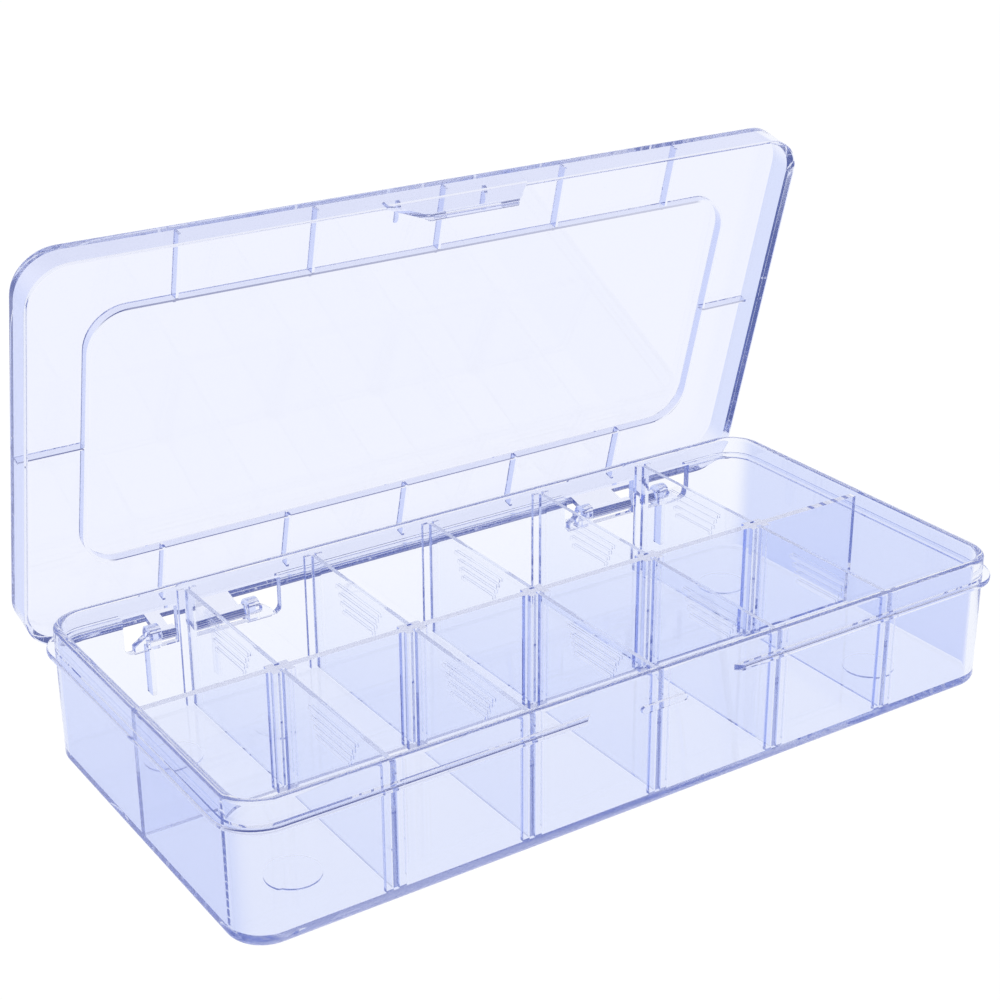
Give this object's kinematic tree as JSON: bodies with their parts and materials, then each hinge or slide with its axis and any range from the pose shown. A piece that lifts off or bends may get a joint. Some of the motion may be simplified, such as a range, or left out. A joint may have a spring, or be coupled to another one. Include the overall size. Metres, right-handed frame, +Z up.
{
  "type": "compartment storage box",
  "caption": "Low rectangular clear plastic storage box with a hinged lid, a snap latch, rows of compartments and lift-out dividers.",
  "frame": {"origin": "middle of the underside of the tray's floor, 0.4 mm above the plane of the four round feet", "axes": "+X along the length, to the right seen from the latch; +Y from the latch side to the hinge side; +Z up, out of the compartments"},
  "size_m": [0.2164, 0.1207, 0.1271],
  "materials": {
    "tray": "clear, polished, faint lavender tint",
    "lid": "clear, polished, faint lavender tint",
    "divider": "clear, polished, faint lavender tint"
  },
  "bodies": {
    "tray": {"tray": "tray"},
    "lid": {"lid": "lid"},
    "divider_back_1": {"divider_back_1": "divider"},
    "divider_back_2": {"divider_back_2": "divider"},
    "divider_back_3": {"divider_back_3": "divider"},
    "divider_back_4": {"divider_back_4": "divider"},
    "divider_back_5": {"divider_back_5": "divider"},
    "divider_front_1": {"divider_front_1": "divider"},
    "divider_front_2": {"divider_front_2": "divider"},
    "divider_front_3": {"divider_front_3": "divider"},
    "divider_front_4": {"divider_front_4": "divider"},
    "divider_front_5": {"divider_front_5": "divider"}
  },
  "joints": [
    {"name": "lid_hinge", "type": "hinge", "parent": "tray", "child": "lid", "pos_m": [0, 0.0507, 0.0223], "axis": [-1, 0, 0], "range_deg": [-75.6, 34.4]},
    {"name": "divider_back_1_lift", "type": "slide", "parent": "tray", "child": "divider_back_1", "axis": [0, 0, 1], "range_m": [0, 0.034]},
    {"name": "divider_back_2_lift", "type": "slide", "parent": "tray", "child": "divider_back_2", "axis": [0, 0, 1], "range_m": [0, 0.034]},
    {"name": "divider_back_3_lift", "type": "slide", "parent": "tray", "child": "divider_back_3", "axis": [0, 0, 1], "range_m": [0, 0.034]},
    {"name": "divider_back_4_lift", "type": "slide", "parent": "tray", "child": "divider_back_4", "axis": [0, 0, 1], "range_m": [0, 0.034]},
    {"name": "divider_back_5_lift", "type": "slide", "parent": "tray", "child": "divider_back_5", "axis": [0, 0, 1], "range_m": [0, 0.034]},
    {"name": "divider_front_1_lift", "type": "slide", "parent": "tray", "child": "divider_front_1", "axis": [0, 0, 1], "range_m": [0, 0.034]},
    {"name": "divider_front_2_lift", "type": "slide", "parent": "tray", "child": "divider_front_2", "axis": [0, 0, 1], "range_m": [0, 0.034]},
    {"name": "divider_front_3_lift", "type": "slide", "parent": "tray", "child": "divider_front_3", "axis": [0, 0, 1], "range_m": [0, 0.034]},
    {"name": "divider_front_4_lift", "type": "slide", "parent": "tray", "child": "divider_front_4", "axis": [0, 0, 1], "range_m": [0, 0.034]},
    {"name": "divider_front_5_lift", "type": "slide", "parent": "tray", "child": "divider_front_5", "axis": [0, 0, 1], "range_m": [0, 0.034]}
  ]
}
